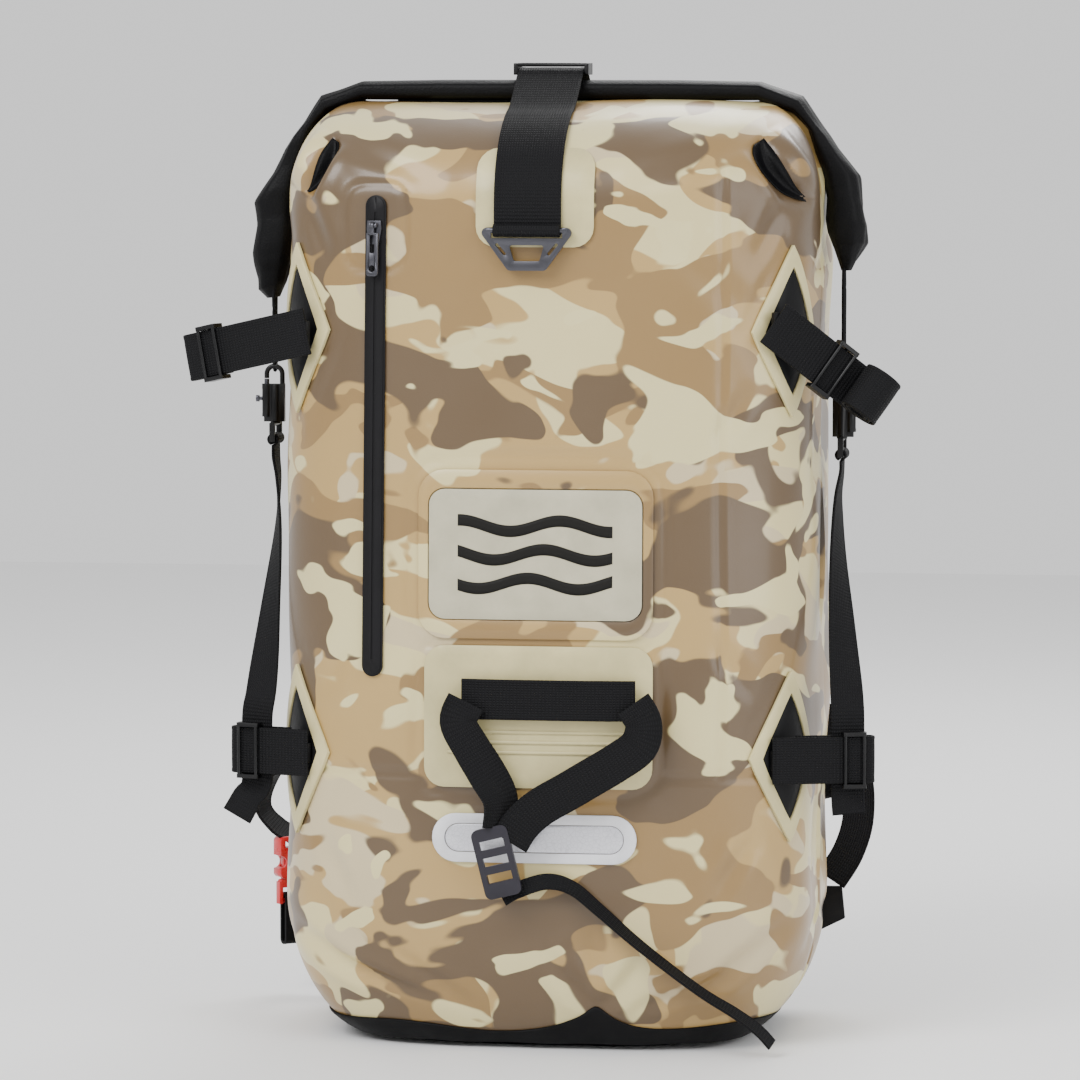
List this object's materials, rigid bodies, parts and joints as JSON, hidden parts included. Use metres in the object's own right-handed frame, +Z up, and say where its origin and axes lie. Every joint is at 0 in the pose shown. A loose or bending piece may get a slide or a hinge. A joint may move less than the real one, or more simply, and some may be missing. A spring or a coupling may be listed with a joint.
{
  "type": "roll-top tackle backpack",
  "caption": "Camouflage roll-top dry backpack for fishing gear, with zip pocket, gear loop, compression straps and a padded harness.",
  "frame": {"origin": "middle of the sole's flat underside", "axes": "+Z up, -Y out of the front face, +X to the right seen from the front"},
  "size_m": [0.436, 0.3156, 0.5851],
  "materials": {
    "tarp": "satin coated camouflage fabric",
    "boot": "matt",
    "collar": "satin coated fabric",
    "lining": "matt",
    "patch": "satin, moulded",
    "plate": "satin, moulded",
    "rim": "satin",
    "film": "retroreflective film",
    "zip": "satin coated tape",
    "gunmetal": "gunmetal plating",
    "rubber": "satin",
    "webbing": "woven polyester webbing",
    "hardware": "moulded acetal",
    "lock": "moulded acetal",
    "foam": "spacer mesh over foam",
    "plastic": "matt",
    "red": "moulded acetal"
  },
  "bodies": {
    "pack": {"main_shell": "tarp", "base_boot": "boot", "base_sole": "boot", "roll_collar": "collar", "roll_stiffener": "plastic", "zip_pocket": "lining", "back_sheet": "plastic", "top_patch": "patch", "plate_frame": "tarp", "name_plate": "plate", "lower_patch": "patch", "reflector_rim": "rim", "reflector_film": "film", "zip_tape": "zip", "corner_patches": "patch", "corner_anchors": "rubber", "upper_strap_left": "webbing", "upper_strap_right": "webbing", "lower_strap_left": "webbing", "lower_strap_right": "webbing", "lower_sliders": "hardware", "end_cords": "webbing", "snap_hook_left": "hardware", "snap_hook_right": "hardware", "side_strap_left": "webbing", "side_strap_right": "webbing", "top_strap": "webbing", "top_buckle": "hardware", "front_band": "webbing", "back_pads": "foam", "harness_yoke": "webbing", "shoulder_pad_left": "foam", "shoulder_pad_right": "foam", "pad_locks": "hardware", "shoulder_webbing_left": "webbing", "shoulder_webbing_right": "webbing", "bottom_tab_left": "webbing", "bottom_tab_right": "webbing", "red_socket": "red"},
    "zip_slider": {"zip_slider": "gunmetal"},
    "zip_pull": {"zip_pull": "gunmetal"},
    "hook": {"front_hook": "gunmetal"},
    "gear_loop": {"loop_legs": "webbing", "loop_lock": "lock", "loop_tail": "webbing"},
    "slider_left": {"upper_slider_left": "hardware"},
    "slider_right": {"upper_slider_right": "hardware"},
    "bolt_left": {"snap_bolt_left": "gunmetal"},
    "bolt_right": {"snap_bolt_right": "gunmetal"},
    "plug": {"red_plug": "red"},
    "handle": {"haul_handle": "webbing"},
    "chest": {"sternum_straps": "webbing", "sternum_sliders": "hardware", "sternum_buckle": "hardware"},
    "hip_left": {"wing_left": "foam", "belt_strap_left": "webbing", "belt_socket": "hardware"},
    "hip_right": {"wing_right": "foam", "belt_strap_right": "webbing", "belt_plug": "hardware"}
  },
  "joints": [
    {"name": "zip_slide", "type": "slide", "parent": "pack", "child": "zip_slider", "axis": [-0.0061, -0.0285, -0.9996], "range_m": [0, 0.236]},
    {"name": "pull_swing", "type": "hinge", "parent": "zip_slider", "child": "zip_pull", "pos_m": [-0.09762, -0.09489, 0.49034], "axis": [-0.9777, 0.2099, 0], "range_deg": [0, 150]},
    {"name": "hook_swing", "type": "hinge", "parent": "pack", "child": "hook", "pos_m": [-0.005, -0.1006, 0.488], "axis": [-1, 0, 0], "range_deg": [0, 100]},
    {"name": "loop_swing", "type": "hinge", "parent": "pack", "child": "gear_loop", "pos_m": [0.009, -0.1134, 0.218], "axis": [-1, 0, 0], "range_deg": [0, 75]},
    {"name": "upper_slide_left", "type": "slide", "parent": "pack", "child": "slider_left", "axis": [-0.8821, 0.4226, -0.2079], "range_m": [-0.03, 0.008]},
    {"name": "upper_slide_right", "type": "slide", "parent": "pack", "child": "slider_right", "axis": [0.7202, 0.3451, -0.6018], "range_m": [-0.025, 0.005]},
    {"name": "bolt_pull_left", "type": "slide", "parent": "pack", "child": "bolt_left", "axis": [0, 0, -1], "range_m": [0, 0.007]},
    {"name": "bolt_pull_right", "type": "slide", "parent": "pack", "child": "bolt_right", "axis": [0, 0, -1], "range_m": [0, 0.007]},
    {"name": "quick_release", "type": "slide", "parent": "pack", "child": "plug", "axis": [0, 0, -1], "range_m": [0, 0.02], "deforming": ["bottom_tab_left"]},
    {"name": "handle_swing", "type": "hinge", "parent": "pack", "child": "handle", "pos_m": [0, 0.109, 0.494], "axis": [-1, 0, 0], "range_deg": [0, 70]},
    {"name": "chest_slide", "type": "slide", "parent": "pack", "child": "chest", "axis": [0, 0, 1], "range_m": [-0.02, 0.02]},
    {"name": "hip_swing_left", "type": "hinge", "parent": "pack", "child": "hip_left", "pos_m": [-0.028, 0.113, 0.141], "axis": [0, 0, -1], "range_deg": [0, 75]},
    {"name": "hip_swing_right", "type": "hinge", "parent": "pack", "child": "hip_right", "pos_m": [0.028, 0.113, 0.141], "axis": [0, 0, 1], "range_deg": [0, 75]}
  ]
}
